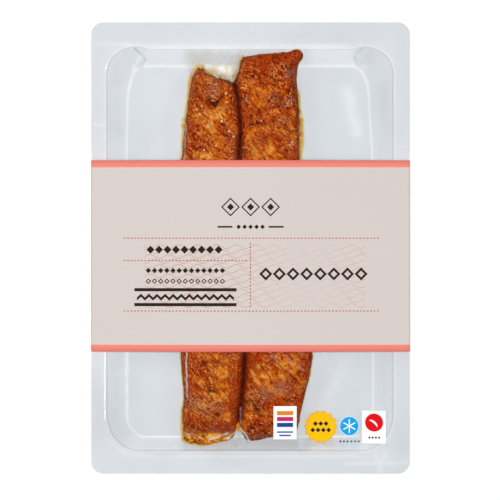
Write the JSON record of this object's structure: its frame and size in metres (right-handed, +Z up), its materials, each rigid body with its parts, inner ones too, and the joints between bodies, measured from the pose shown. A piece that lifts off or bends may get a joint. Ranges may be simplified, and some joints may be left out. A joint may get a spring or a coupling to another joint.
{
  "type": "pack of hot smoked salmon fillets",
  "caption": "Clear vacuum pack of spiced hot smoked salmon fillets lying side by side: a shallow flanged tray, a film drawn down over the fish, and a printed card sleeve round the middle.",
  "frame": {"origin": "middle of the pack in plan, on the surface that the pack lies on", "axes": "+X across the pack to the right, +Y along the pack towards the end shown at the top, +Z up out of the pack's front"},
  "size_m": [0.151, 0.212, 0.0231],
  "materials": {
    "clear_tray": "clear, glossy",
    "smoked_salmon": "moist, crusted with orange-brown spice",
    "clear_film": "clear, glossy, wrinkled",
    "printed_card": "matt printed card, beige with coral stripes"
  },
  "bodies": {
    "root": {"tray": "clear_tray", "fillet_left": "smoked_salmon", "fillet_right": "smoked_salmon", "film": "clear_film", "sleeve": "printed_card"}
  },
  "joints": []
}
